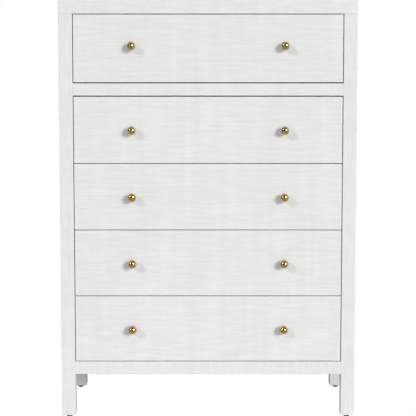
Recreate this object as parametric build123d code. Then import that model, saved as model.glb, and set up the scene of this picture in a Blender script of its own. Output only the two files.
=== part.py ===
from build123d import *
import os

# Tall chest of drawers: a post-and-rail case on four short legs, with one drawer above a rail and four
# drawers stacked below it, each on a pair of three-part ball-bearing slides and pulled by two ball knobs.
# Millimetres. +Z is up, the front faces -Y, and left and right are those of a person facing the front.
# The origin is on the floor, at the middle of the box that holds the whole object, knobs included.

# ---- Driving dimensions -------------------------------------------------------------------------------
CASE_WIDTH = 914.0
CASE_DEPTH = 445.0
POST = 42.0                    # square section of the four corner posts
SLAB = 41.0                    # thickness of the top
MID_RAIL = 37.5                # height of the rail between the top drawer and the others
BOTTOM_RAIL = 40.0
LEG_CLEAR = 132.0              # from the foot of a post to the underside of the bottom rail
GAP = 2.3                      # reveal round every drawer front
RAIL_GAP = 3.3                 # the wider reveals above and below the mid rail
TOP_FRONT = 206.0              # height of the top drawer's front
LOWER_FRONT = 204.0            # height of each of the four lower fronts
LOWER_DRAWERS = 4
ARRIS = 0.8                    # small bevel that breaks the edges of the boards
SLAB_ARRIS = 1.2
FOOT_ROUND = 3.0               # rounding of the posts' lower ends

GLIDE_HEIGHT = 7.3
GLIDE_R = 10.2
GLIDE_BASE_R = 8.2
GLIDE_STUD_R = 2.4
GLIDE_STUD = 22.0

SIDE_PANEL = 15.0
SIDE_RECESS = 5.0              # how far a side panel sits inside the posts' outer faces
SIDE_TONGUE = 8.0              # depth of the grooves in the posts that hold the side panels
SHELF = 12.0                   # thickness of the mid divider and the bottom panel
SHELF_HOUSING = 4.0            # how far they are let into the side panels
BACK_PANEL = 6.0
BACK_RECESS = 3.0              # the back panel sits this far inside the posts' back faces
BACK_REBATE = 10.0             # width of the rebate in each rear post
REAR_RAIL = 20.0               # thickness of the two rear rails

FRONT_THICK = 20.0
BOX_SIDE = 12.0                # thickness of drawer sides and backs
BOX_HEIGHT = 150.0
BOX_LIFT = 12.0                # from the lower edge of a front to the lower edge of its box
BOX_LENGTH = 404.0             # from the back of the front to the back of the box
BOX_BOTTOM = 5.0
BOTTOM_LIFT = 12.0             # from the lower edge of the box to its bottom panel
BOTTOM_GROOVE = 6.0
TAILS = 4                      # dovetails at each corner of a drawer
TAIL_ROOT = 19.0
TAIL_TIP = 25.0
LAP_TAIL = 14.0                # length of the tails let into the front

SLIDE_SPACE = 12.7             # side clearance that a slide fills
SLIDE_LENGTH = 400.0
SLIDE_SETBACK = 2.0            # from the back of the drawer front to the front of its slide
SLIDE_SHEET = 1.2
SLIDE_RISE = 68.0              # from the lower edge of the box to the slide's centre line

KNOB_R = 13.8
KNOB_REACH = 31.0              # from the front's face to the outermost point of the ball
KNOB_NECK_R = 4.6
KNOB_NECK_FROM = 3.4           # where the foot's flare ends and the straight neck begins
KNOB_BASE_R = 7.5
KNOB_BASE = 1.2
KNOB_SPACING = 469.5
TOP_KNOB_RISE = 7.5            # the top drawer's knobs sit this far above its front's middle
LOWER_KNOB_RISE = -1.0
KNOB_SCREW_R = 1.95
KNOB_SCREW_GRIP = 12.0         # thread engaged inside a knob
FIT = 0.1                      # radial clearance of screws, studs and dowels in their holes

DOWEL_R = 4.0
DOWEL = 36.0
DOWEL_RISE = 9.0               # a rail end's two dowels sit this far above and below its middle
TOP_DOWEL_DEPTHS = (12.0, 28.0)    # of the two dowels in a post's top, from the post's outer face
TOP_DOWEL_SHIFT = 4.0          # how far they stand outwards of the post's middle
BORE_CLEAR = 1.0               # spare depth at the blind end of each dowel, stud or screw hole
BRACKET_HOLES = 38.0           # spacing of the two pilot holes for a wall bracket
BRACKET_HOLE_R = 1.6
BRACKET_HOLE_DEPTH = 14.0

# ---- Levels and faces worked out from them ------------------------------------------------------------
HALF = CASE_WIDTH / 2
Y_FRONT = -(CASE_DEPTH + KNOB_REACH) / 2 + KNOB_REACH
Y_BACK = Y_FRONT + CASE_DEPTH
OPENING_HALF = HALF - POST

Z_POST = GLIDE_HEIGHT
Z_BOTTOM_RAIL = Z_POST + LEG_CLEAR
Z_LOWER = Z_BOTTOM_RAIL + BOTTOM_RAIL
Z_MID_RAIL = Z_LOWER + LOWER_DRAWERS * (GAP + LOWER_FRONT) + RAIL_GAP
Z_TOP_DRAWER = Z_MID_RAIL + MID_RAIL + RAIL_GAP
Z_SLAB = Z_TOP_DRAWER + TOP_FRONT + GAP
HEIGHT = Z_SLAB + SLAB

SIDE_OUT = HALF - SIDE_RECESS
SIDE_IN = SIDE_OUT - SIDE_PANEL
Y_PANEL_BACK = Y_BACK - BACK_RECESS
Y_PANEL_FRONT = Y_PANEL_BACK - BACK_PANEL

BOX_HALF = OPENING_HALF - SLIDE_SPACE
Y_BOX = Y_FRONT + FRONT_THICK
Y_BOX_BACK = Y_BOX + BOX_LENGTH

LEFT, RIGHT = -1, 1
SIDES = {"left": LEFT, "right": RIGHT}


def block(x, y, z):
    """A box from three (low, high) pairs."""
    size = [high - low for low, high in (x, y, z)]
    middle = [(high + low) / 2 for low, high in (x, y, z)]
    return Pos(*middle) * Box(*size)


def span(a, b):
    """The (low, high) pair of two numbers in either order."""
    return (min(a, b), max(a, b))


def eased(board, bevel=ARRIS):
    """The board with every edge lightly bevelled."""
    return chamfer(board.edges(), bevel)


def rod_x(radius, x, y, z):
    """A round bar along X over the (low, high) pair x."""
    return Pos((x[0] + x[1]) / 2, y, z) * Rot(0, 90, 0) * Cylinder(radius, x[1] - x[0])


def rod_y(radius, x, y, z):
    """A round bar along Y over the (low, high) pair y."""
    return Pos(x, (y[0] + y[1]) / 2, z) * Rot(90, 0, 0) * Cylinder(radius, y[1] - y[0])


def rod_z(radius, x, y, z):
    """A round bar along Z over the (low, high) pair z."""
    return Pos(x, y, (z[0] + z[1]) / 2) * Cylinder(radius, z[1] - z[0])


def cut(board, tools):
    """The board with each tool taken out of it, one at a time, so that they may touch each other."""
    for tool in tools:
        board = board - tool
    return board


# ---- Fasteners of the case ----------------------------------------------------------------------------
def frame_dowels(radius, reach):
    """Dowels between rails and posts, and between posts and top, each over the length reach."""
    made = []
    half = reach / 2
    rails = [
        (Y_FRONT + POST / 2, Z_MID_RAIL + MID_RAIL / 2),
        (Y_FRONT + POST / 2, Z_BOTTOM_RAIL + BOTTOM_RAIL / 2),
        (Y_PANEL_FRONT - REAR_RAIL / 2, Z_SLAB - BOTTOM_RAIL / 2),
        (Y_PANEL_FRONT - REAR_RAIL / 2, Z_BOTTOM_RAIL + BOTTOM_RAIL / 2),
    ]
    for side in SIDES.values():
        joint = side * OPENING_HALF
        for y, z in rails:
            for rise in (-DOWEL_RISE, DOWEL_RISE):
                made.append(rod_x(radius, (joint - half, joint + half), y, z + rise))
        x_top = side * (HALF - POST / 2 + TOP_DOWEL_SHIFT)
        for y_face, inward in ((Y_FRONT, 1), (Y_BACK, -1)):
            for depth in TOP_DOWEL_DEPTHS:
                made.append(rod_z(radius, x_top, y_face + inward * depth, (Z_SLAB - half, Z_SLAB + half)))
    return made


DOWELS = frame_dowels(DOWEL_R - FIT, DOWEL)
DOWEL_HOLES = frame_dowels(DOWEL_R, DOWEL + 2 * BORE_CLEAR)

PANEL_SCREW_R = 1.5
PANEL_SCREW = 16.0
PANEL_HEAD_R = 3.4
PANEL_HEAD = 1.4
PANEL_SCREW_ROWS = 6           # up each rear post
PANEL_SCREW_SHARES = (-0.75, -0.25, 0.25, 0.75)    # along the rear rails, in shares of half their length


def panel_screw_places():
    """(x, z) of the screws round the back panel: up both posts, and along both rear rails."""
    low, high = Z_BOTTOM_RAIL + BOTTOM_RAIL / 2, Z_SLAB - BOTTOM_RAIL / 2
    step = (high - low) / (PANEL_SCREW_ROWS - 1)
    up_posts = [low + step * k for k in range(PANEL_SCREW_ROWS)]
    along_rails = [OPENING_HALF * share for share in PANEL_SCREW_SHARES]
    places = [(side * (OPENING_HALF + BACK_REBATE / 2), z) for side in SIDES.values() for z in up_posts]
    return places + [(x, z) for x in along_rails for z in (low, high)]


def panel_screw(x, z):
    """A low-headed wood screw through the back panel."""
    shank = rod_y(PANEL_SCREW_R, x, (Y_PANEL_BACK - PANEL_SCREW, Y_PANEL_BACK), z)
    head = rod_y(PANEL_HEAD_R, x, (Y_PANEL_BACK, Y_PANEL_BACK + PANEL_HEAD), z)
    rim = head.faces().sort_by(Axis.Y)[-1].edges()
    return shank + chamfer(rim, PANEL_HEAD / 2)


PANEL_SCREWS = [panel_screw(x, z) for x, z in panel_screw_places()]
PANEL_HOLES = [
    rod_y(PANEL_SCREW_R + FIT, x, (Y_PANEL_BACK - PANEL_SCREW - BORE_CLEAR, Y_PANEL_BACK), z)
    for x, z in panel_screw_places()
]


# ---- Case ---------------------------------------------------------------------------------------------
def side_panel(side):
    """A side panel with its two long edges tongued into the posts."""
    x = span(side * SIDE_IN, side * SIDE_OUT)
    y = (Y_FRONT + POST - SIDE_TONGUE, Y_BACK - POST + SIDE_TONGUE)
    return block(x, y, (Z_BOTTOM_RAIL, Z_SLAB))


def shelf(z_middle, y_end):
    """A thin panel behind a front rail, let into the side panels and narrowed between the rear posts."""
    wide, z = SIDE_IN + SHELF_HOUSING, (z_middle - SHELF / 2, z_middle + SHELF / 2)
    body = block((-wide, wide), (Y_FRONT + POST, Y_BACK - POST), z)
    return body + block((-OPENING_HALF, OPENING_HALF), (Y_BACK - POST, y_end), z)


def back_panel():
    """The thin back, in the rear posts' rebates and over the faces of the rear rails."""
    wide = OPENING_HALF + BACK_REBATE
    return block((-wide, wide), (Y_PANEL_FRONT, Y_PANEL_BACK), (Z_BOTTOM_RAIL, Z_SLAB))


def back_rebates():
    """The room for the back panel, open at the posts' back faces."""
    wide = OPENING_HALF + BACK_REBATE
    return block((-wide, wide), (Y_PANEL_FRONT, Y_BACK), (Z_BOTTOM_RAIL, Z_SLAB))


def post(side, y_face, inward):
    """A corner post, rounded at its foot, grooved for its side panel and bored for its glide."""
    x = span(side * OPENING_HALF, side * HALF)
    y = span(y_face, y_face + inward * POST)
    plain = block(x, y, (Z_POST, Z_SLAB))
    foot = plain.faces().sort_by(Axis.Z)[0].edges()
    board = chamfer(plain.edges().filter_by(Axis.Z), ARRIS) & fillet(foot, FOOT_ROUND)
    tools = [side_panel(side), *DOWEL_HOLES, *PANEL_HOLES]
    if inward < 0:
        tools.insert(0, back_rebates())
    stud = rod_z(GLIDE_STUD_R + FIT, sum(x) / 2, sum(y) / 2, (Z_POST, Z_POST + GLIDE_STUD + BORE_CLEAR))
    return cut(board, [*tools, stud, *slide_screw_holes()])


def front_rail(z_low, height):
    """A rail between the front posts, flush with them."""
    x, y = (-OPENING_HALF, OPENING_HALF), (Y_FRONT, Y_FRONT + POST)
    board = block(x, y, (z_low, z_low + height))
    return cut(chamfer(board.edges().filter_by(Axis.X), ARRIS), DOWEL_HOLES)


def rear_rail(z_low):
    """A rail between the rear posts, against the inside of the back panel."""
    x, y = (-OPENING_HALF, OPENING_HALF), (Y_PANEL_FRONT - REAR_RAIL, Y_PANEL_FRONT)
    return cut(block(x, y, (z_low, z_low + BOTTOM_RAIL)), [*DOWEL_HOLES, *PANEL_HOLES])


def bracket_holes():
    """Two pilot holes for a wall bracket, from the back panel's back face into the top rear rail."""
    z = Z_SLAB - BOTTOM_RAIL / 2
    y = (Y_PANEL_BACK - BRACKET_HOLE_DEPTH, Y_PANEL_BACK)
    return [rod_y(BRACKET_HOLE_R, side * BRACKET_HOLES / 2, y, z) for side in SIDES.values()]


def glide(side, y):
    """A round tapered glide under a post, with the stud that holds it."""
    x = side * (HALF - POST / 2)
    pad = Pos(x, y, GLIDE_HEIGHT / 2) * Cone(GLIDE_BASE_R, GLIDE_R, GLIDE_HEIGHT)
    return pad + rod_z(GLIDE_STUD_R, x, y, (GLIDE_HEIGHT, Z_POST + GLIDE_STUD))


# ---- Drawer slides ------------------------------------------------------------------------------------
# Each slide is three nested channels of bent steel sheet between the case and the drawer. Distances run
# from the case inwards: the back of each channel's web and the tips of its flanges. The flanges of a
# closed-mouth channel end in lips that turn towards its middle, and those of an open one turn away.
CASE_RAIL = {"web": 0.0, "tip": 9.6, "half": 22.5, "web_half": 22.5, "lip": -1.4}
MIDDLE_RAIL = {"web": 2.8, "tip": 10.9, "half": 18.3, "web_half": 19.7, "lip": -1.4}
DRAWER_RAIL = {"web": SLIDE_SPACE, "tip": 5.2, "half": 14.1, "web_half": 14.1, "lip": 1.4}
SLIDE_SCREW_R = 1.8
SLIDE_SCREW = 14.0
SLIDE_HEAD_R = 3.6
SLIDE_HEAD = 1.1
SLIDE_SCREW_INSETS = (10.0, 390.0)
Y_SLIDE = Y_BOX + SLIDE_SETBACK


def channel(side, rail, z_mid):
    """One channel of a slide: its web, its two flanges and the lips that keep the balls in."""
    y = (Y_SLIDE, Y_SLIDE + SLIDE_LENGTH)
    turn = 1 if rail["tip"] > rail["web"] else -1

    def sheet(near, far, low, high):
        return block(span(side * (OPENING_HALF - near), side * (OPENING_HALF - far)), y, (low, high))

    web, tip, half = rail["web"], rail["tip"], rail["half"]
    shape = sheet(web, web + turn * SLIDE_SHEET, z_mid - rail["web_half"], z_mid + rail["web_half"])
    for up in (-1, 1):
        outer, inner = z_mid + up * half, z_mid + up * (half - SLIDE_SHEET)
        lip_from = inner if rail["lip"] < 0 else outer
        shape += sheet(web, tip, *span(inner, outer))
        shape += sheet(tip - turn * SLIDE_SHEET, tip, *span(lip_from, lip_from + up * rail["lip"]))
    return shape


def slide_screw(side, y, z):
    """A low-headed screw that holds a case rail to its post."""
    wall, face = side * OPENING_HALF, side * (OPENING_HALF - SLIDE_SHEET)
    shank = rod_x(SLIDE_SCREW_R, span(face, wall + side * SLIDE_SCREW), y, z)
    head = rod_x(SLIDE_HEAD_R, span(face, face - side * SLIDE_HEAD), y, z)
    return shank + head


def slide_screw_places():
    """(y, z) of the screws in the case rails."""
    return [(Y_SLIDE + inset, slide_level(d)) for d in DRAWERS for inset in SLIDE_SCREW_INSETS]


def slide_screw_holes():
    """The screws' holes, through the rails' webs and into the posts of both sides."""
    return [
        rod_x(
            SLIDE_SCREW_R + FIT,
            span(side * (OPENING_HALF - SLIDE_SHEET), side * (OPENING_HALF + SLIDE_SCREW + BORE_CLEAR)),
            y,
            z,
        )
        for side in SIDES.values()
        for y, z in slide_screw_places()
    ]


# ---- Drawers ------------------------------------------------------------------------------------------
def drawer_levels():
    """Number, lower edge and height of each front, from the top drawer down."""
    made = [(1, Z_TOP_DRAWER, TOP_FRONT)]
    for k in range(LOWER_DRAWERS):
        low = Z_LOWER + GAP + (LOWER_DRAWERS - 1 - k) * (LOWER_FRONT + GAP)
        made.append((k + 2, low, LOWER_FRONT))
    return made


DRAWERS = drawer_levels()


def slide_level(drawer):
    return drawer[1] + BOX_LIFT + SLIDE_RISE


def tail(side, y_root, y_tip, z_mid):
    """One dovetail, widening from its root to its tip through the thickness of a drawer side."""
    root, tip = TAIL_ROOT / 2, TAIL_TIP / 2
    outline = Polyline(
        (y_root, z_mid - root), (y_tip, z_mid - tip), (y_tip, z_mid + tip), (y_root, z_mid + root), close=True
    )
    x_low = min(side * BOX_HALF, side * (BOX_HALF - BOX_SIDE))
    return extrude(Plane.YZ.offset(x_low) * make_face(outline), BOX_SIDE)


def tails(side, z_box):
    """All the dovetails of one drawer side: lapped into the front, and right through the back."""
    pitch = BOX_HEIGHT / TAILS
    y_shoulder = Y_BOX_BACK - BOX_SIDE
    made = []
    for k in range(TAILS):
        z_mid = z_box + (k + 0.5) * pitch
        made.append(tail(side, Y_BOX, Y_BOX - LAP_TAIL, z_mid))
        made.append(tail(side, y_shoulder, Y_BOX_BACK, z_mid))
    return made


def box_bottom(z_box):
    """The bottom panel, let into all four boards."""
    wide = BOX_HALF - BOX_SIDE + BOTTOM_GROOVE
    y = (Y_BOX - BOTTOM_GROOVE, Y_BOX_BACK - BOX_SIDE + BOTTOM_GROOVE)
    return block((-wide, wide), y, (z_box + BOTTOM_LIFT, z_box + BOTTOM_LIFT + BOX_BOTTOM))


def box_side(side, z_box):
    """A drawer side: a plain board between its shoulders, with the tails beyond them."""
    x = span(side * BOX_HALF, side * (BOX_HALF - BOX_SIDE))
    board = block(x, (Y_BOX, Y_BOX_BACK - BOX_SIDE), (z_box, z_box + BOX_HEIGHT))
    for one in tails(side, z_box):
        board = board + one
    return board - box_bottom(z_box)


def both_tails(z_box):
    return [one for side in SIDES.values() for one in tails(side, z_box)]


def box_back(z_box):
    """The drawer's back, between and around the tails of both sides."""
    y = (Y_BOX_BACK - BOX_SIDE, Y_BOX_BACK)
    board = block((-BOX_HALF, BOX_HALF), y, (z_box, z_box + BOX_HEIGHT))
    return cut(board, [*both_tails(z_box), box_bottom(z_box)])


def drawer_front(z_low, height, z_box, knob_z):
    """The show face, socketed for the tails, grooved for the bottom and drilled for the knobs."""
    half = OPENING_HALF - GAP
    board = eased(block((-half, half), (Y_FRONT, Y_BOX), (z_low, z_low + height)))
    holes = [rod_y(KNOB_SCREW_R + FIT, x, (Y_FRONT, Y_BOX), knob_z) for x in knob_xs()]
    return cut(board, [*both_tails(z_box), box_bottom(z_box), *holes])


def knob_xs():
    return [side * KNOB_SPACING / 2 for side in SIDES.values()]


def knob(x, z):
    """A ball on a waisted neck with a small foot, bored from behind for its screw."""
    centre = KNOB_REACH - KNOB_R
    meet = centre - (KNOB_R**2 - KNOB_NECK_R**2) ** 0.5
    outline = Polyline((0, 0), (KNOB_BASE_R, 0), (KNOB_BASE_R, KNOB_BASE))
    flare_end = (KNOB_NECK_R, KNOB_NECK_FROM)
    outline += TangentArc(flare_end, (KNOB_BASE_R, KNOB_BASE), tangent=(0, -1))
    outline += Line(flare_end, (KNOB_NECK_R, meet))
    outline += ThreePointArc((KNOB_NECK_R, meet), (KNOB_R, centre), (0, KNOB_REACH))
    outline += Line((0, KNOB_REACH), (0, 0))
    turned = revolve(make_face(Plane.XZ * outline), Axis.Z)
    turned = turned - rod_z(KNOB_SCREW_R + FIT, 0, 0, (0, KNOB_SCREW_GRIP + BORE_CLEAR))
    return Pos(x, Y_FRONT, z) * Rot(90, 0, 0) * turned


KNOB_HEAD_R = 4.2
KNOB_HEAD = 2.4


def knob_screw(x, z):
    """The machine screw from inside the drawer, through the front and into the knob."""
    head = rod_y(KNOB_HEAD_R, x, (Y_BOX, Y_BOX + KNOB_HEAD), z)
    rim = head.faces().sort_by(Axis.Y)[-1].edges()
    return rod_y(KNOB_SCREW_R, x, (Y_FRONT - KNOB_SCREW_GRIP, Y_BOX), z) + fillet(rim, KNOB_HEAD / 2)


def drawer(number, z_low, height):
    """Every node of one drawer and of the slide parts that move with it."""
    z_box = z_low + BOX_LIFT
    z_slide = slide_level((number, z_low, height))
    knob_z = z_low + height / 2 + (TOP_KNOB_RISE if number == 1 else LOWER_KNOB_RISE)
    name = f"drawer_{number}_"
    knobs = [knob(x, knob_z) for x in knob_xs()] + [knob_screw(x, knob_z) for x in knob_xs()]
    return {
        name + "front": [drawer_front(z_low, height, z_box, knob_z)],
        name + "left_side": [box_side(LEFT, z_box)],
        name + "right_side": [box_side(RIGHT, z_box)],
        name + "back": [box_back(z_box)],
        name + "bottom": [box_bottom(z_box)],
        name + "knobs": knobs,
        name + "inner_rails": [channel(side, DRAWER_RAIL, z_slide) for side in SIDES.values()],
        name + "middle_rails": [channel(side, MIDDLE_RAIL, z_slide) for side in SIDES.values()],
    }


def case():
    """Every node of the fixed case."""
    top = eased(block((-HALF, HALF), (Y_FRONT, Y_BACK), (Z_SLAB, HEIGHT)), SLAB_ARRIS)
    mid_shelf = shelf(Z_MID_RAIL + MID_RAIL / 2, Y_PANEL_FRONT)
    low_shelf = shelf(Z_BOTTOM_RAIL + BOTTOM_RAIL / 2, Y_PANEL_FRONT - REAR_RAIL)
    nodes = {
        "top_panel": [cut(top, DOWEL_HOLES)],
        "mid_front_rail": [front_rail(Z_MID_RAIL, MID_RAIL)],
        "bottom_front_rail": [front_rail(Z_BOTTOM_RAIL, BOTTOM_RAIL)],
        "top_rear_rail": [cut(rear_rail(Z_SLAB - BOTTOM_RAIL), bracket_holes())],
        "bottom_rear_rail": [rear_rail(Z_BOTTOM_RAIL)],
        "back_panel": [cut(back_panel(), [*PANEL_HOLES, *bracket_holes()])],
        "mid_divider_panel": [mid_shelf],
        "bottom_panel": [low_shelf],
        "frame_dowels": DOWELS,
        "back_panel_screws": PANEL_SCREWS,
    }
    glides, screws = [], []
    for name, side in SIDES.items():
        for end, y_face, inward in (("front", Y_FRONT, 1), ("rear", Y_BACK, -1)):
            nodes[f"{name}_{end}_post"] = [post(side, y_face, inward)]
            glides.append(glide(side, y_face + inward * POST / 2))
        nodes[f"{name}_side_panel"] = [cut(side_panel(side), [mid_shelf, low_shelf])]
        rails = [channel(side, CASE_RAIL, slide_level(d)) for d in DRAWERS]
        nodes[f"{name}_case_rails"] = [cut(rail, slide_screw_holes()) for rail in rails]
        screws += [slide_screw(side, y, z) for y, z in slide_screw_places()]
    nodes["glides"] = glides
    nodes["slide_screws"] = screws
    return nodes


def main():
    os.makedirs("parts", exist_ok=True)
    nodes = case()
    for number, z_low, height in DRAWERS:
        nodes.update(drawer(number, z_low, height))
    for name, solids in nodes.items():
        shape = solids[0] if len(solids) == 1 else Compound(children=solids)
        export_step(shape, f"parts/{name}.step")
    print(len(nodes), "nodes, height", HEIGHT)


main()
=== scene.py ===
import math

import bmesh
import bpy
from mathutils import Matrix, Vector


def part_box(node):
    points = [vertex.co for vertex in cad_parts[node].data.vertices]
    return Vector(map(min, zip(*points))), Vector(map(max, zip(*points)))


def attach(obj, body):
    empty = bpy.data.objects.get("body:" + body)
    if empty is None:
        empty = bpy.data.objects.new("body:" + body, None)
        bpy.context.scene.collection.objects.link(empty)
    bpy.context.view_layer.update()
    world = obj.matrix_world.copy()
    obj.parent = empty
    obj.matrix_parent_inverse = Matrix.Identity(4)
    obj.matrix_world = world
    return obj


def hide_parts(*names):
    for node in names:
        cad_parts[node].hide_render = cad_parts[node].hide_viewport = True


# Looks of the tall chest of drawers. Metres. The front faces -Y, +Z is up, and every place comes from the
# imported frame. White boards, brass ball knobs, pale wooden drawers, and slides of zinc-plated steel.

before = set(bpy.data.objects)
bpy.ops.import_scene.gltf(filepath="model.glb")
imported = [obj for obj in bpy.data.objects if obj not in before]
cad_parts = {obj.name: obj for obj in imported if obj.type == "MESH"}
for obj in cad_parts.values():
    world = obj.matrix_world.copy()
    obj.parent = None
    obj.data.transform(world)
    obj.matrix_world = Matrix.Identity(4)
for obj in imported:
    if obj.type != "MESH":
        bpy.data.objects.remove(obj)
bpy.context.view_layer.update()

MM = 0.001
DRAWERS = range(1, 6)
SIDES = {"left": -1, "right": 1}


def srgb(r, g, b):
    """A colour given as display values from 0 to 1, as the linear values that shaders take."""
    return tuple(c / 12.92 if c <= 0.04045 else ((c + 0.055) / 1.055) ** 2.4 for c in (r, g, b)) + (1.0,)


# ---- Shader nodes ---------------------------------------------------------------------------------------
SEED_STEPS = (3.7, 5.3, 7.9)   # how far a seed moves a texture along X, Y and Z
OBJECT_POINT = 3               # the Texture Coordinate node's output of the point in the object's frame
MIX_INPUTS = (0, 6, 7)         # the Mix node's sockets for its factor and two colours
MIX_RESULT = 2


class Shader:
    """A material under construction, with short ways to add and join its nodes."""

    def __init__(self, name):
        self.material = bpy.data.materials.new(name)
        self.material.use_nodes = True
        self.tree = self.material.node_tree
        self.surface = self.tree.nodes["Principled BSDF"]

    def set(self, socket, value):
        """Links an output, sets a plain value, or leaves the socket alone for None."""
        if isinstance(value, bpy.types.NodeSocket):
            self.tree.links.new(value, socket)
        elif value is not None:
            socket.default_value = value

    def add(self, kind, *inputs, out=0, **settings):
        """A node of this kind with its inputs in order. Returns one of its outputs."""
        node = self.tree.nodes.new("ShaderNode" + kind)
        for key, value in settings.items():
            setattr(node, key, value)
        for socket, value in zip(node.inputs, inputs):
            self.set(socket, value)
        return node.outputs[out]

    def put(self, **sockets):
        """Sets the surface's sockets, named in lower case with underscores."""
        for name, value in sockets.items():
            self.set(self.surface.inputs[name.replace("_", " ").title()], value)

    def math(self, operation, *inputs):
        return self.add("Math", *inputs, operation=operation)

    def blend(self, *layers):
        """The sum of textures, each given with the layer that holds its share of the whole."""
        (texture, layer), *rest = layers
        total = self.math("MULTIPLY", texture, layer["share"])
        for texture, layer in rest:
            total = self.math("MULTIPLY_ADD", texture, layer["share"], total)
        return total

    def place(self):
        """The shaded point in the object's own frame, in metres."""
        return self.add("TexCoord", out=OBJECT_POINT)

    def lumps(self, size, seed, detail=3.0, roughness=0.5):
        """Noise with lumps of this size in millimetres along X, Y and Z. Its values lie round 0.5."""
        shift = [seed * step for step in SEED_STEPS]
        scale = [1 / (s * MM) for s in size]
        point = self.add("Mapping", self.place(), shift, (0, 0, 0), scale)
        return self.add("TexNoise", point, None, 1.0, detail, roughness)

    def spread(self, value, low, high, middle=0.5, reach=0.2):
        """The value, with the stretch of its range round the middle running from low to high."""
        return self.add("MapRange", value, middle - reach, middle + reach, low, high)

    def mix(self, factor, a, b):
        """The colour that goes from a to b as the factor goes from 0 to 1."""
        node = self.tree.nodes.new("ShaderNodeMix")
        node.data_type = "RGBA"
        for socket, value in zip(MIX_INPUTS, (factor, a, b)):
            self.set(node.inputs[socket], value)
        return node.outputs[MIX_RESULT]

    def bump(self, height, depth, under=None):
        """A bump whose full range stands depth millimetres high, on top of an earlier one."""
        node = self.tree.nodes.new("ShaderNodeBump")
        node.inputs["Strength"].default_value = 1.0
        node.inputs["Distance"].default_value = depth * MM
        self.set(node.inputs["Height"], height)
        self.set(node.inputs["Normal"], under)
        return node.outputs[0]


def along(axis, length, width):
    """One value for this axis and another for the other two, such as a lump's length and width."""
    return [length if name == axis else width for name in "XYZ"]


# ---- Paint and wood -------------------------------------------------------------------------------------
# A layer is a texture: the size of its lumps along and across the grain and the depth of its bump, both in
# millimetres, and its share of the tone.
WHITE = srgb(0.932, 0.932, 0.932)
WHITE_LOW = srgb(0.886, 0.886, 0.886)
PAINT_FIBRE = {"size": (45, 2.0), "share": 0.24, "depth": 0.09}
PAINT_STREAK = {"size": (75, 7.0), "share": 0.46, "depth": 0.14}
PAINT_BAND = {"size": (32, 500), "share": 0.30}


def white_finish(axis):
    """White satin paint that lets a fine straight grain along the axis show as furrows and faint streaks."""
    s = Shader(f"white_finish_{axis.lower()}")
    seed = "XYZ".index(axis) + 1
    fibre = s.lumps(along(axis, *PAINT_FIBRE["size"]), seed)
    streak = s.lumps(along(axis, *PAINT_STREAK["size"]), seed + 10, detail=2.0)
    band = s.lumps(along(axis, *PAINT_BAND["size"]), seed + 20, detail=2.0)
    tone = s.blend((fibre, PAINT_FIBRE), (streak, PAINT_STREAK), (band, PAINT_BAND))
    s.put(base_color=s.mix(s.spread(tone, 0.0, 1.0, reach=0.17), WHITE_LOW, WHITE))
    s.put(roughness=s.spread(fibre, 0.40, 0.56), coat_weight=0.06, coat_roughness=0.3)
    s.put(normal=s.bump(streak, PAINT_STREAK["depth"], s.bump(fibre, PAINT_FIBRE["depth"])))
    return s.material


WOOD_FIBRE = {"size": (30, 0.8), "share": 0.36, "depth": 0.06}
WOOD_RINGS = {"share": 0.34, "depth": 0.04}
WOOD_PATCH = {"size": (500, 90), "share": 0.30}
WOOD_PORES = (7, 0.4)
PORE_SHADE = 0.5
WANDER = (420, 60)             # the lumps that bend the rings, and how far they bend them, in metres
WANDER_REACH = (0.05, 0.05, 0.05)
PITH = 0.21                    # how far off the pith lies, in metres, and how much further for each seed
PITH_STEP = 0.07
WAVE_SPACING = math.tau / 20   # between the rings of a wave texture of scale 1


def wood(name, axis, pale, dark, ring=5.0, gloss=0.42, seed=1):
    """Sawn wood: growth rings about a distant pith along the axis, fine fibres and short dark pores."""
    s = Shader(name)
    wander = s.lumps(along(axis, *WANDER), seed)
    shift = s.add("VectorMath", wander, WANDER_REACH, operation="MULTIPLY")
    point = s.add("VectorMath", s.place(), shift, operation="ADD")
    pith = along(axis, 0.0, PITH + PITH_STEP * seed)
    point = s.add("VectorMath", point, pith, operation="ADD")
    scale = WAVE_SPACING / (ring * MM)
    rings = s.add("TexWave", point, scale, 1.4, 2.0, 3.0, wave_type="RINGS", rings_direction=axis, out=1)
    fibre = s.lumps(along(axis, *WOOD_FIBRE["size"]), seed + 4)
    patch = s.lumps(along(axis, *WOOD_PATCH["size"]), seed + 12, detail=2.0)
    tone = s.blend((fibre, WOOD_FIBRE), (rings, WOOD_RINGS), (patch, WOOD_PATCH))
    colour = s.mix(s.spread(tone, 0.0, 1.0, reach=0.3), pale, dark)
    speck = s.lumps(along(axis, *WOOD_PORES), seed + 8, detail=1.0)
    pore = s.spread(speck, 0.0, 0.35, middle=0.67, reach=0.05)
    pore_colour = tuple(c * PORE_SHADE for c in dark[:3]) + (1.0,)
    s.put(base_color=s.mix(pore, colour, pore_colour))
    s.put(roughness=s.spread(fibre, gloss - 0.07, gloss + 0.1))
    s.put(normal=s.bump(rings, WOOD_RINGS["depth"], s.bump(fibre, WOOD_FIBRE["depth"])))
    return s.material


PLY_FIBRE = {"size": (22, 0.8), "share": 0.35, "depth": 0.05}
PLY_FIGURE = {"size": (300, 26), "share": 0.65}


def plywood(name, axis, pale, dark, seed):
    """Thin rotary-cut ply: a broad wandering figure and fine fibres."""
    s = Shader(name)
    figure = s.lumps(along(axis, *PLY_FIGURE["size"]), seed, detail=5.0, roughness=0.62)
    fibre = s.lumps(along(axis, *PLY_FIBRE["size"]), seed + 3)
    tone = s.blend((fibre, PLY_FIBRE), (figure, PLY_FIGURE))
    s.put(base_color=s.mix(s.spread(tone, 0.0, 1.0), pale, dark))
    s.put(roughness=s.spread(fibre, 0.45, 0.66), normal=s.bump(fibre, PLY_FIBRE["depth"]))
    return s.material


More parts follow.
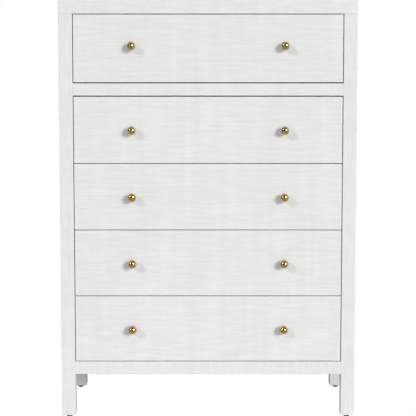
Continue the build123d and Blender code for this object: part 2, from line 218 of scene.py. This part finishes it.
# ---- Metal and plastic ----------------------------------------------------------------------------------
SCRATCH_SIZE = (0.25, 2.0, 0.25)        # along X, Y and Z
LACQUER_ROUGHNESS = 0.08


def metal(name, light, dark, roughness, blotch, seed, scratch=0.01, lacquer=0.0):
    """Plated or lacquered metal with faint blotches, fine scratches and uneven roughness."""
    s = Shader(name)
    cloud = s.lumps([blotch] * 3, seed, detail=4.0, roughness=0.6)
    fine = s.lumps(SCRATCH_SIZE, seed + 5, detail=2.0)
    s.put(base_color=s.mix(s.spread(cloud, 0.0, 1.0), dark, light), metallic=1.0)
    s.put(coat_weight=lacquer, coat_roughness=LACQUER_ROUGHNESS)
    base = s.spread(cloud, roughness - 0.04, roughness + 0.05)
    s.put(roughness=s.math("ADD", base, s.spread(fine, -0.04, 0.04)), normal=s.bump(fine, scratch))
    return s.material


PLASTIC_GRAIN = 0.35
PLASTIC_GRAIN_DEPTH = 0.03
PLASTIC_CLOUD = 6.0


def moulded(name, colour, roughness, seed):
    """Moulded plastic with a fine spark-eroded texture."""
    s = Shader(name)
    grain = s.lumps([PLASTIC_GRAIN] * 3, seed, detail=2.0)
    sheen = s.lumps([PLASTIC_CLOUD] * 3, seed + 2)
    lighter = tuple(c * 1.6 + 0.004 for c in colour[:3]) + (1.0,)
    s.put(base_color=s.mix(s.spread(sheen, 0.0, 1.0), colour, lighter))
    s.put(roughness=s.spread(grain, roughness - 0.1, roughness + 0.1))
    s.put(normal=s.bump(grain, PLASTIC_GRAIN_DEPTH))
    return s.material


# Colours. Where there are two, the material varies between them.
PALE_WOOD = (srgb(0.87, 0.78, 0.64), srgb(0.76, 0.63, 0.47))
RAW_WOOD = (srgb(0.84, 0.73, 0.57), srgb(0.70, 0.56, 0.39))
BOTTOM_PLY = (srgb(0.87, 0.77, 0.62), srgb(0.77, 0.64, 0.47))
BACK_PLY = (srgb(0.80, 0.68, 0.52), srgb(0.66, 0.52, 0.36))
SHELF_PLY = (srgb(0.82, 0.74, 0.61), srgb(0.72, 0.62, 0.48))
BRASS = (srgb(0.765, 0.665, 0.44), srgb(0.705, 0.595, 0.36))
ZINC = (srgb(0.80, 0.81, 0.83), srgb(0.70, 0.71, 0.73))
SCREW_STEEL = (srgb(0.80, 0.78, 0.72), srgb(0.66, 0.64, 0.58))
BLACK_NYLON = (0.012, 0.012, 0.013, 1.0)
MATERIALS = {
    "white_x": white_finish("X"),
    "white_z": white_finish("Z"),
    "side_wood": wood("drawer_side_wood", "Y", *PALE_WOOD),
    "back_wood": wood("drawer_back_wood", "X", *PALE_WOOD, seed=2),
    "rail_wood": wood("rear_rail_wood", "X", *RAW_WOOD, ring=6.0, gloss=0.6, seed=3),
    "dowel_wood": wood("dowel_beech", "X", *RAW_WOOD, ring=2.0, gloss=0.6, seed=4),
    "drawer_ply": plywood("drawer_bottom_ply", "X", *BOTTOM_PLY, seed=3),
    "back_ply": plywood("back_panel_ply", "Z", *BACK_PLY, seed=5),
    "shelf_ply": plywood("shelf_ply", "X", *SHELF_PLY, seed=7),
    "brass": metal("lacquered_brass", *BRASS, roughness=0.13, blotch=5, seed=11, scratch=0.003, lacquer=1.0),
    "zinc": metal("zinc_plate", *ZINC, roughness=0.28, blotch=12, seed=13),
    "screw_steel": metal("zinc_screw", *SCREW_STEEL, roughness=0.26, blotch=3, seed=17),
    "nylon": moulded("black_nylon", BLACK_NYLON, roughness=0.5, seed=19),
}


def paint(node, material):
    """Gives a CAD node its detailed material."""
    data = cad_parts[node].data
    data.materials.clear()
    data.materials.append(MATERIALS[material])


def paint_boards():
    """The CAD pieces whose shape is shown as it is."""
    paint("top_panel", "white_x")
    paint("mid_front_rail", "white_x")
    paint("bottom_front_rail", "white_z")
    for side in SIDES:
        for upright in ("front_post", "rear_post", "side_panel"):
            paint(f"{side}_{upright}", "white_z")
    for rail in ("top_rear_rail", "bottom_rear_rail"):
        paint(rail, "rail_wood")
    for shelf in ("mid_divider_panel", "bottom_panel"):
        paint(shelf, "shelf_ply")
    paint("back_panel", "back_ply")
    paint("frame_dowels", "dowel_wood")
    for n in DRAWERS:
        paint(f"drawer_{n}_front", "white_x")
        paint(f"drawer_{n}_left_side", "side_wood")
        paint(f"drawer_{n}_right_side", "side_wood")
        paint(f"drawer_{n}_back", "back_wood")
        paint(f"drawer_{n}_bottom", "drawer_ply")


# ---- Mesh building --------------------------------------------------------------------------------------
IDENTITY = Matrix.Identity(4)
ACROSS = Matrix(((0, 0, 1, 0), (0, 1, 0, 0), (1, 0, 0, 0), (0, 0, 0, 1)))      # swaps X and Z
BEND_STEPS = 6


def turned(bm, profile, place, segments):
    """Faces of a turned solid about the place's Z axis, from (radius, height) points in millimetres."""
    rings = []
    for radius, height in profile:
        count = 1 if radius == 0 else segments
        angles = [math.tau * k / count for k in range(count)]
        points = [Vector((radius * math.cos(a), radius * math.sin(a), height)) * MM for a in angles]
        rings.append([bm.verts.new(place @ point) for point in points])
    for low, high in zip(rings, rings[1:]):
        for k in range(segments):
            n = (k + 1) % segments
            corners = (low[k % len(low)], low[n % len(low)], high[n % len(high)], high[k % len(high)])
            bm.faces.new(list(dict.fromkeys(corners)))


def arc(centre, radius, start, end, steps):
    """Points on an arc between two angles in degrees."""
    angles = [math.radians(start + (end - start) * k / steps) for k in range(steps + 1)]
    return [(centre[0] + radius * math.cos(a), centre[1] + radius * math.sin(a)) for a in angles]


def extruded(bm, outline, length, place):
    """Faces of a closed outline, in the place's XY plane, carried along its Z axis. Millimetres."""
    ends = []
    for z in length:
        ends.append([bm.verts.new(place @ (Vector((x, y, z)) * MM)) for x, y in outline])
    count = len(outline)
    for k in range(count):
        n = (k + 1) % count
        bm.faces.new((ends[0][k], ends[0][n], ends[1][n], ends[1][k]))
    bm.faces.new(reversed(ends[0]))
    bm.faces.new(ends[1])


def bent_sheet(corners, radius, sheet):
    """The outline of sheet metal whose middle follows the corners, each rounded to the radius."""
    path = [Vector(corners[0])]
    for before, corner, after in zip(corners, corners[1:], corners[2:]):
        corner = Vector(corner)
        back, on = (Vector(before) - corner).normalized(), (Vector(after) - corner).normalized()
        half = back.angle(on) / 2
        middle = corner + (back + on).normalized() * radius / math.sin(half)
        reach = radius / math.tan(half)
        start, end = corner + back * reach - middle, corner + on * reach - middle
        for k in range(BEND_STEPS + 1):
            path.append(middle + start.slerp(end, k / BEND_STEPS))
    path.append(Vector(corners[-1]))
    sides = ([], [])
    for k, point in enumerate(path):
        run = path[min(k + 1, len(path) - 1)] - path[max(k - 1, 0)]
        normal = Vector((-run.y, run.x)).normalized() * sheet / 2
        sides[0].append(tuple(point + normal))
        sides[1].append(tuple(point - normal))
    return sides[0] + sides[1][::-1]


def finished(bm, smooth_below=35):
    """The mesh with outward normals, and smooth wherever it turns by less than the angle."""
    bmesh.ops.recalc_face_normals(bm, faces=bm.faces)
    mesh = bpy.data.meshes.new("piece")
    bm.to_mesh(mesh)
    bm.free()
    mesh.shade_smooth()
    mesh.set_sharp_from_angle(angle=math.radians(smooth_below))
    return mesh


def add_piece(name, mesh, material, slot, body, *nodes):
    """A detailed piece that rides on the body and stands for the CAD nodes."""
    mesh.name = name
    mesh.materials.clear()
    mesh.materials.append(MATERIALS[material])
    piece = bpy.data.objects.new(name, mesh)
    bpy.context.scene.collection.objects.link(piece)
    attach(piece, body)
    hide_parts(*nodes)


# ---- Screws ---------------------------------------------------------------------------------------------
HEAD_RINGS = 14
HEAD_SEGMENTS = 48
HEAD_CROWDING = 0.7            # draws the rings of a head towards its rim
DOME = 0.35                    # share of a head's height above its wall
DOME_CURVE = 2.4
RECESS_ARM = 0.62              # shares of the head's radius
RECESS_HALF = 0.15
RECESS_SLOPE = 0.10
RECESS_DEPTH = 0.6             # share of the head's height
THREAD_PITCH = 0.8             # shares of the shank's radius
THREAD_ROOT = 0.72
SHANK_SEGMENTS = 12


def recess_depth(x, y):
    """How deep a cross recess is at a place on a head of radius 1, from 0 to 1."""
    def arm(along_it, across):
        end = (RECESS_ARM - abs(along_it)) / (3 * RECESS_SLOPE)
        side = (RECESS_HALF - abs(across)) / RECESS_SLOPE
        return max(0.0, min(1.0, end, side))

    return max(arm(x, y), arm(y, x))


def head_rings(radius, height):
    """A head's rings from its foot to its middle, each as a radius and the height at every angle."""
    angles = [math.tau * k / HEAD_SEGMENTS for k in range(HEAD_SEGMENTS)]
    wall = height * (1 - DOME)
    rings = [(radius, [0.0] * HEAD_SEGMENTS), (radius, [wall] * HEAD_SEGMENTS)]
    for j in range(1, HEAD_RINGS):
        share = math.cos(math.pi / 2 * j / HEAD_RINGS) ** HEAD_CROWDING
        top = wall + height * DOME * (1 - share**DOME_CURVE)
        depths = [recess_depth(share * math.cos(a), share * math.sin(a)) for a in angles]
        rings.append((radius * share, [top - depth * height * RECESS_DEPTH for depth in depths]))
    return rings


def screw_head(bm, place, radius, height):
    """A domed screw head with a cross recess. It stands on the place's XY plane. Millimetres."""
    made = []
    for r, heights in head_rings(radius, height):
        ring = []
        for k, z in enumerate(heights):
            a = math.tau * k / HEAD_SEGMENTS
            ring.append(bm.verts.new(place @ (Vector((r * math.cos(a), r * math.sin(a), z)) * MM)))
        made.append(ring)
    for low, high in zip(made, made[1:]):
        for k in range(HEAD_SEGMENTS):
            n = (k + 1) % HEAD_SEGMENTS
            bm.faces.new((low[k], low[n], high[n], high[k]))
    for ring, z in ((made[0], 0.0), (made[-1], height * (1 - RECESS_DEPTH))):
        middle = bm.verts.new(place @ Vector((0, 0, z * MM)))
        for k in range(HEAD_SEGMENTS):
            bm.faces.new((ring[k], ring[(k + 1) % HEAD_SEGMENTS], middle))


def facing(x, y, z, direction, turn=0.0):
    """A place whose Z axis points in the direction, turned about it by some degrees."""
    look = Vector(direction).to_track_quat("Z", "Y").to_matrix().to_4x4()
    return Matrix.Translation((x, y, z)) @ look @ Matrix.Rotation(math.radians(turn), 4, "Z")


def screw_shank(bm, place, radius, length):
    """A threaded shank that goes down from the place's XY plane to a point. Millimetres."""
    pitch = radius * THREAD_PITCH
    turns = int(length / pitch) - 2
    profile = [(0, 0), (radius, 0)]
    for k in range(turns):
        profile += [(radius * THREAD_ROOT, -pitch * (k + 0.5)), (radius, -pitch * (k + 1))]
    turned(bm, profile + [(0, -length)], place, SHANK_SEGMENTS)


# Sizes of the screws, and the degrees by which each one is turned further than the one before it.
PANEL_SCREW = {"head": 3.4, "height": 1.4, "shank": 1.5, "length": 16.0, "turn": 37.0}
PANEL_SCREW_ROWS = 6
PANEL_SCREW_SHARES = (-0.75, -0.25, 0.25, 0.75)
SLIDE_SCREW = {"head": 3.6, "height": 1.1, "shank": 1.8, "length": 14.0, "turn": 29.0}
SLIDE_SCREW_INSETS = (10.0, 390.0)
KNOB_SCREW = {"head": 4.2, "height": 2.4, "shank": 1.95, "length": 31.0, "turn": 31.0}
KNOB_SCREW_TURN = 20.0         # the turn that the knob screws' turns lie evenly round


def screw(bm, place, size):
    """A whole screw, whose head stands on the place's XY plane."""
    screw_head(bm, place, size["head"], size["height"])
    screw_shank(bm, place, size["shank"], size["length"])


def middle_level(node):
    """The height of the middle of a node's box."""
    low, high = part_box(node)
    return (low.z + high.z) / 2


def add_panel_screws():
    """The screws round the back panel: up both rear posts and along both rear rails."""
    low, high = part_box("back_panel_screws")
    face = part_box("back_panel")[1].y
    head = PANEL_SCREW["head"] * MM
    bottom, top = low.z + head, high.z - head
    side = high.x - head
    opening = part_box("right_rear_post")[0].x
    step = (top - bottom) / (PANEL_SCREW_ROWS - 1)
    places = [(s * side, bottom + step * k) for s in SIDES.values() for k in range(PANEL_SCREW_ROWS)]
    places += [(opening * share, z) for share in PANEL_SCREW_SHARES for z in (bottom, top)]
    bm = bmesh.new()
    for k, (x, z) in enumerate(places):
        screw(bm, facing(x, face, z, (0, 1, 0), turn=PANEL_SCREW["turn"] * k), PANEL_SCREW)
    add_piece("back_screw_set", finished(bm), "screw_steel", "zinc_steel", "case", "back_panel_screws")


# ---- Knobs and glides -----------------------------------------------------------------------------------
KNOB_NECK_R = 4.6
KNOB_NECK_FROM = 3.4           # where the foot's flare ends and the straight neck begins
KNOB_BASE_R = 7.5
KNOB_BASE = 1.2
SOFT_EDGE = 0.3
KNOB_SEGMENTS = 80
KNOB_SMOOTH = 40               # degrees between faces, below which the ball and the flare look smooth


def knob_profile(radius, reach):
    """A ball on a waisted neck with a small round foot, as (radius, height) points from the drawer's face."""
    centre = reach - radius
    meet = math.degrees(math.asin(KNOB_NECK_R / radius))
    foot = [(0, 0), (KNOB_BASE_R, 0)]
    foot += arc((KNOB_BASE_R - SOFT_EDGE, KNOB_BASE - SOFT_EDGE), SOFT_EDGE, 0, 90, 4)
    run, rise = KNOB_BASE_R - SOFT_EDGE - KNOB_NECK_R, KNOB_NECK_FROM - KNOB_BASE
    flare = [(KNOB_NECK_R + run * (1 - math.sin(a)), KNOB_BASE + rise * (1 - math.cos(a)))
             for a in (math.radians(10 * k) for k in range(1, 10))]
    ball = arc((0, centre), radius, meet - 90, 90, 40)
    return foot + flare + ball[:-1] + [(0, reach)]


def add_knobs(n):
    """A drawer's two ball knobs, and the screws that hold them from inside."""
    drawer = f"drawer_{n}"
    knobs = f"{drawer}_knobs"
    low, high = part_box(knobs)
    front_low, front_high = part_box(f"{drawer}_front")
    radius = (high.z - low.z) / 2 / MM
    profile = knob_profile(radius, (front_low.y - low.y) / MM)
    z = middle_level(knobs)
    screws = bmesh.new()
    for name, side in SIDES.items():
        x = side * (high.x - radius * MM)
        bm = bmesh.new()
        turned(bm, profile, facing(x, front_low.y, z, (0, -1, 0)), KNOB_SEGMENTS)
        add_piece(f"{drawer}_{name}_knob", finished(bm, KNOB_SMOOTH), "brass", "brass", drawer, knobs)
        turn = KNOB_SCREW_TURN + KNOB_SCREW["turn"] * n * side
        screw(screws, facing(x, front_high.y, z, (0, 1, 0), turn), KNOB_SCREW)
    add_piece(f"{drawer}_knob_screws", finished(screws), "screw_steel", "zinc_steel", drawer, knobs)


GLIDE_R = 10.2
GLIDE_BASE_R = 8.2
GLIDE_STUD_R = 2.4
GLIDE_STUD = 22.0
GLIDE_DIMPLE = [(0, 0.6), (2.2, 0.6), (2.7, 0.1), (3.4, 0)]
GLIDE_FOOT_ROUND = 0.9
GLIDE_RIM_ROUND = 0.5
GLIDE_SEGMENTS = 64


def glide_profile(height):
    """A dished foot that widens to a rim under the post, then the stud, as (radius, height) points."""
    foot = (GLIDE_BASE_R - GLIDE_FOOT_ROUND, GLIDE_FOOT_ROUND)
    rim = (GLIDE_R - GLIDE_RIM_ROUND, height - GLIDE_RIM_ROUND)
    top = height + GLIDE_STUD
    outline = arc(foot, GLIDE_FOOT_ROUND, -90, -20, 6) + arc(rim, GLIDE_RIM_ROUND, 0, 90, 5)
    return GLIDE_DIMPLE + outline + [(GLIDE_STUD_R, height), (GLIDE_STUD_R, top), (0, top)]


def add_glides():
    """A round moulded glide under each post, with its stud."""
    for side in SIDES:
        for end in ("front", "rear"):
            low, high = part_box(f"{side}_{end}_post")
            bm = bmesh.new()
            place = Matrix.Translation(((low.x + high.x) / 2, (low.y + high.y) / 2, 0))
            turned(bm, glide_profile(low.z / MM), place, GLIDE_SEGMENTS)
            add_piece(f"{side}_{end}_glide", finished(bm), "nylon", "black_plastic", "case", "glides")


# ---- Drawer slides --------------------------------------------------------------------------------------
# Each slide is three channels of bent sheet that nest between the post and the drawer. A section's X runs
# from the post inwards and its Y runs up. The balls roll between the flanges, held by two cages. A slot is
# (middle, length, height), with its middle measured from the slide's front end.
SHEET = 1.2
BEND = 0.95
CASE_SECTION = [(9.0, 19.9), (9.0, 21.9), (0.6, 21.9), (0.6, -21.9), (9.0, -21.9), (9.0, -19.9)]
MIDDLE_SECTION = [(10.3, 15.7), (10.3, 17.7), (3.4, 17.7), (3.4, -17.7), (10.3, -17.7), (10.3, -15.7)]
DRAWER_SECTION = [(5.8, 15.5), (5.8, 13.5), (12.1, 13.5), (12.1, -13.5), (5.8, -13.5), (5.8, -15.5)]
HEM_X = (2.8, 4.0)             # the round-topped lip on each edge of the middle channel
HEM_Y = (17.9, 19.7)
CASE_SLOTS = [(42, 14, 5), (85, 6, 6), (130, 14, 5), (200, 22, 8), (262, 14, 5), (300, 6, 6), (345, 14, 5)]
MIDDLE_SLOTS = [(30, 6, 6), (110, 26, 9), (200, 8, 8), (290, 26, 9), (370, 6, 6)]
DRAWER_SLOTS = [(60, 12, 5), (95, 5, 5), (215, 12, 5), (255, 5, 5), (310, 12, 5), (380, 6, 6)]
CUTTER_REACH = (-1, 14)        # the stretch of X that the slots' cutters fill
BALL_R = 1.45
BALL_STEP = 9.0
BALL_SEGMENTS = 14
CAGE_SHEET = 0.5
CAGE_BEND = 0.6
# A cage's ends along the slide, the X of its web and flange tips, the Y of its flanges, and a ball's X and Y.
OUTER_CAGE = {"run": (215, 380), "web": 2.05, "strip": 20.1, "tip": 8.0, "ball": (6.5, 19.8)}
INNER_CAGE = {"run": (15, 185), "web": 4.6, "strip": 15.9, "tip": 9.4, "ball": (8.0, 15.6)}
RAIL_SCREWS = (30, 350)        # the screws that hold the drawer's channel, from its front end
RAIL_SCREW_FACE = 11.5
RAIL_SCREW_HEAD = {"radius": 3.4, "height": 1.1}
RAIL_SCREW_TURN = 17.0
LEVER_FROM = 120.0
LEVER_LENGTH = 62.0
LEVER_X = (9.7, 11.3)
LEVER_PAD = 6.0                # radius of the thumb pad
LEVER_EDGE = [(10, 5.6), (18, 3.2), (LEVER_LENGTH - 2, 2.4)]    # (run, half height) behind the pad
RIBS = {"count": 3, "from": 3.5, "step": 2.2, "height": 0.5}    # across the thumb pad
RIB_SLOT = (1.2, 8.0)          # a rib's outline, before it is squeezed along and across the lever
RIB_SCALE = (0.15, 0.9)


def stadium(length, height, middle):
    """The outline of a slot with round ends."""
    radius, half = height / 2, max((length - height) / 2, 0.01)
    return arc((middle + half, 0), radius, -90, 90, 10) + arc((middle - half, 0), radius, 90, 270, 10)


def pierced(mesh, slots):
    """The mesh with round-ended slots cut through its web. The mesh's X goes through the web."""
    bm = bmesh.new()
    for middle, length, height in slots:
        extruded(bm, stadium(length, height, middle), CUTTER_REACH, ACROSS)
    bmesh.ops.recalc_face_normals(bm, faces=bm.faces)
    cutter_mesh = bpy.data.meshes.new("cutter")
    bm.to_mesh(cutter_mesh)
    bm.free()
    body = bpy.data.objects.new("body", mesh)
    cutter = bpy.data.objects.new("cutter", cutter_mesh)
    for item in (body, cutter):
        bpy.context.scene.collection.objects.link(item)
    modifier = body.modifiers.new("slots", "BOOLEAN")
    modifier.operation = "DIFFERENCE"
    modifier.solver = "EXACT"
    modifier.object = cutter
    graph = bpy.context.evaluated_depsgraph_get()
    made = bpy.data.meshes.new_from_object(body.evaluated_get(graph))
    for item in (body, cutter):
        bpy.data.objects.remove(item)
    bpy.data.meshes.remove(cutter_mesh)
    return made


def member(section, length, slots, hems=()):
    """One channel of a slide at the origin: X inwards from the post, Y up, Z along its run."""
    bm = bmesh.new()
    extruded(bm, bent_sheet(section, BEND, SHEET), (0, length), IDENTITY)
    radius = (HEM_X[1] - HEM_X[0]) / 2
    tip = arc((sum(HEM_X) / 2, HEM_Y[1] - radius), radius, 0, 180, 6)
    outline = [(HEM_X[1], HEM_Y[0])] + tip + [(HEM_X[0], HEM_Y[0])]
    for sign in hems:
        extruded(bm, [(x, sign * y) for x, y in outline], (0, length), IDENTITY)
    return pierced(finished(bm), slots)


def cages(bm, balls, cage, place):
    """One ball cage, and the balls in its two strips."""
    start, end = cage["run"]
    tip, web, strip = cage["tip"], cage["web"], cage["strip"]
    path = [(tip, strip), (web, strip), (web, -strip), (tip, -strip)]
    extruded(bm, bent_sheet(path, CAGE_BEND, CAGE_SHEET), (start, end), place)
    count = int((end - start) / BALL_STEP)
    ball = arc((0, 0), BALL_R, -90, 90, 8)
    profile = [(0, -BALL_R)] + ball[1:-1] + [(0, BALL_R)]
    x, y = cage["ball"]
    for k in range(count):
        run = start + (end - start) * (k + 0.5) / count
        for sign in (-1, 1):
            centre = Matrix.Translation(Vector((x, sign * y, run)) * MM)
            turned(balls, profile, place @ centre, BALL_SEGMENTS)


def lever(bm, place):
    """The release lever inside the drawer's channel: a thin bar with a thumb pad at its front end."""
    outline = arc((LEVER_FROM + LEVER_PAD, 0), LEVER_PAD, 90, 270, 12)
    outline += [(LEVER_FROM + run, -half) for run, half in LEVER_EDGE]
    outline += [(LEVER_FROM + LEVER_LENGTH, 0)]
    outline += [(LEVER_FROM + run, half) for run, half in reversed(LEVER_EDGE)]
    extruded(bm, outline, LEVER_X, place @ ACROSS)
    for k in range(RIBS["count"]):
        run = LEVER_FROM + RIBS["from"] + RIBS["step"] * k
        rib = [(run + y * RIB_SCALE[0], x * RIB_SCALE[1]) for x, y in stadium(*RIB_SLOT, 0.0)]
        extruded(bm, rib, (LEVER_X[0] - RIBS["height"], LEVER_X[0]), place @ ACROSS)


def placed(mesh, place):
    """A copy of the mesh at the place, turned right side out if the place mirrors it."""
    made = mesh.copy()
    made.transform(place)
    if place.determinant() < 0:
        made.flip_normals()
    return made


def add_rail_fittings(n, piece, side, wall, place):
    """The release lever and the two screws in the channel on the drawer."""
    rails = f"drawer_{n}_inner_rails"
    start, z = place.translation.yz
    bm = bmesh.new()
    lever(bm, place)
    add_piece(f"{piece}_release_lever", finished(bm), "nylon", "black_plastic", f"drawer_{n}", rails)
    bm = bmesh.new()
    x = side * (wall - RAIL_SCREW_FACE * MM)
    for run in RAIL_SCREWS:
        turn = RAIL_SCREW_TURN * n + run
        screw_head(bm, facing(x, start + run * MM, z, (side, 0, 0), turn), **RAIL_SCREW_HEAD)
    add_piece(f"{piece}_rail_screws", finished(bm), "screw_steel", "zinc_steel", f"drawer_{n}", rails)


def add_slides():
    """The ten slides, each with its screws, ball cages and release lever."""
    rails_low, rails_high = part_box("right_case_rails")
    wall, start = rails_high.x, rails_low.y
    length = (rails_high.y - rails_low.y) / MM
    case_member = member(CASE_SECTION, length, CASE_SLOTS)
    middle_member = member(MIDDLE_SECTION, length, MIDDLE_SLOTS, hems=(-1, 1))
    drawer_member = member(DRAWER_SECTION, length, DRAWER_SLOTS)
    screws = bmesh.new()
    for n in DRAWERS:
        drawer = f"drawer_{n}"
        on_middle = ("zinc_steel", f"{drawer}_slide_middles", f"{drawer}_middle_rails")
        z = middle_level(f"{drawer}_inner_rails")
        for name, side in SIDES.items():
            place = Matrix(((-side, 0, 0, side * wall), (0, 0, 1, start), (0, 1, 0, z), (0, 0, 0, 1)))
            piece = f"{drawer}_{name}"
            mesh = placed(case_member, place)
            add_piece(f"{piece}_case_rail", mesh, "zinc", "zinc_steel", "case", f"{name}_case_rails")
            add_piece(f"{piece}_middle_rail", placed(middle_member, place), "zinc", *on_middle)
            mesh = placed(drawer_member, place)
            add_piece(f"{piece}_inner_rail", mesh, "zinc", "zinc_steel", drawer, f"{drawer}_inner_rails")
            sheet = bmesh.new()
            balls = bmesh.new()
            for cage in (OUTER_CAGE, INNER_CAGE):
                cages(sheet, balls, cage, place)
            add_piece(f"{piece}_ball_cages", finished(sheet), "zinc", *on_middle)
            add_piece(f"{piece}_balls", finished(balls), "screw_steel", *on_middle)
            add_rail_fittings(n, piece, side, wall, place)
            for inset in SLIDE_SCREW_INSETS:
                x = side * (wall - SHEET * MM)
                turn = SLIDE_SCREW["turn"] * n + inset
                screw(screws, facing(x, start + inset * MM, z, (-side, 0, 0), turn), SLIDE_SCREW)
    add_piece("slide_screw_set", finished(screws), "screw_steel", "zinc_steel", "case", "slide_screws")
    for mesh in (case_member, middle_member, drawer_member):
        bpy.data.meshes.remove(mesh)


# ---- Camera ---------------------------------------------------------------------------------------------
CAMERA_DISTANCE = 4.395        # from the camera to the plane of the drawer fronts
CAMERA_HEIGHT = 1.1388
CAMERA_PITCH = 6.039           # degrees below the horizon
LENS = 123.86                  # millimetres, on the default 36 mm sensor
SHIFT = (-0.0002, -0.00935)
CAMERA_END = 60                # the furthest that the camera sees


def make_camera():
    """The photo's camera: in front of the chest's middle, looking slightly down."""
    data = bpy.data.cameras.new("camera")
    data.lens = LENS
    data.shift_x, data.shift_y = SHIFT
    data.clip_end = CAMERA_END
    camera = bpy.data.objects.new("camera", data)
    bpy.context.scene.collection.objects.link(camera)
    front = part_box("drawer_3_front")[0].y
    camera.location = (0, front - CAMERA_DISTANCE, CAMERA_HEIGHT)
    camera.rotation_euler = (math.radians(90 - CAMERA_PITCH), 0, 0)
    bpy.context.scene.camera = camera


# ---- Light ----------------------------------------------------------------------------------------------
# Two broad lamps in a dim room with a bright right side and a bright ceiling. Angles in degrees: azimuth
# from the front towards the right, and the angle that each lamp fills.
KEY = {"azimuth": 37.5, "elevation": 18, "strength": 2.09, "angle": 22}
FILL = {"azimuth": -48, "elevation": 26, "strength": 0.84, "angle": 9}
LAMP_DISTANCE = 3
AMBIENT = 0.08
TOP_GLOW = 0.33                # added overhead, from TOP_FROM to TOP_FULL along +Z
TOP_FROM = 0.25
TOP_FULL = 1.0
RIGHT_GLOW = 0.70              # added on the right, from RIGHT_FROM to RIGHT_FULL along +X
RIGHT_FROM = 0.45
RIGHT_FULL = 0.95
WHITE_BACKDROP = 1.003         # just bright enough to show as pure white
BRIGHT = (1.0, 1.0, 1.0, 1.0)
BLACK = (0.0, 0.0, 0.0, 1.0)


def make_lamp(name, azimuth, elevation, strength, angle):
    """A sun lamp, which shines from this direction and fills this angle of the sky."""
    data = bpy.data.lights.new(name, "SUN")
    data.energy = strength
    data.angle = math.radians(angle)
    lamp = bpy.data.objects.new(name, data)
    bpy.context.scene.collection.objects.link(lamp)
    a, e = math.radians(azimuth), math.radians(elevation)
    towards = Vector((math.sin(a) * math.cos(e), -math.cos(a) * math.cos(e), math.sin(e)))
    lamp.rotation_mode = "QUATERNION"
    lamp.rotation_quaternion = towards.to_track_quat("Z", "Y")
    lamp.location = towards * LAMP_DISTANCE


def make_world():
    """A dim room that is brighter on the right and overhead, and a white backdrop for the camera."""
    world = bpy.data.worlds.new("studio")
    bpy.context.scene.world = world
    world.use_nodes = True
    tree = world.node_tree
    tree.nodes.clear()

    def add(kind, **settings):
        node = tree.nodes.new("ShaderNode" + kind)
        for key, value in settings.items():
            setattr(node, key, value)
        return node

    out = add("OutputWorld")
    mix = add("MixShader")
    path = add("LightPath")
    backdrop = add("Background")
    room = add("Background")
    backdrop.inputs["Strength"].default_value = WHITE_BACKDROP
    for background in (backdrop, room):
        background.inputs["Color"].default_value = BRIGHT
    split = add("SeparateXYZ")
    total = add("Math", operation="ADD")
    tree.links.new(add("TexCoord").outputs["Generated"], split.inputs[0])
    right = (0, RIGHT_FROM, RIGHT_FULL, AMBIENT, AMBIENT + RIGHT_GLOW)
    top = (2, TOP_FROM, TOP_FULL, 0.0, TOP_GLOW)
    for k, (axis, *span) in enumerate((right, top)):
        glow = add("MapRange", interpolation_type="SMOOTHSTEP")
        for key, value in zip(("From Min", "From Max", "To Min", "To Max"), span):
            glow.inputs[key].default_value = value
        tree.links.new(split.outputs[axis], glow.inputs[0])
        tree.links.new(glow.outputs[0], total.inputs[k])
    tree.links.new(total.outputs[0], room.inputs["Strength"])
    tree.links.new(path.outputs["Is Camera Ray"], mix.inputs[0])
    tree.links.new(room.outputs[0], mix.inputs[1])
    tree.links.new(backdrop.outputs[0], mix.inputs[2])
    tree.links.new(mix.outputs[0], out.inputs[0])


FLOOR_HALF = 14.0
FLOOR_BOUNCE = 0.07            # what the floor adds to the light it reflects
FLOOR_TONE = (0.58, 0.58, 0.58, 1.0)


def make_floor():
    """A pale matt floor, which the camera sees as white as the backdrop."""
    mesh = bpy.data.meshes.new("floor")
    corners = [(x * FLOOR_HALF, y * FLOOR_HALF, 0) for x, y in ((-1, -1), (1, -1), (1, 1), (-1, 1))]
    mesh.from_pydata(corners, [], [(0, 1, 2, 3)])
    floor = bpy.data.objects.new("floor", mesh)
    bpy.context.scene.collection.objects.link(floor)
    s = Shader("pale_floor")
    seen = s.add("LightPath")
    s.put(base_color=s.mix(seen, FLOOR_TONE, BLACK), roughness=0.9)
    s.set(s.surface.inputs["Specular IOR Level"], 0.0)
    glow = s.spread(seen, FLOOR_BOUNCE, WHITE_BACKDROP, reach=0.5)
    s.put(emission_color=BRIGHT, emission_strength=glow)
    mesh.materials.append(s.material)


paint_boards()
add_panel_screws()
add_glides()
add_slides()
for number in DRAWERS:
    add_knobs(number)
make_camera()
make_lamp("key_light", **KEY)
make_lamp("fill_light", **FILL)
make_world()
make_floor()
bpy.context.scene.view_settings.view_transform = "Standard"
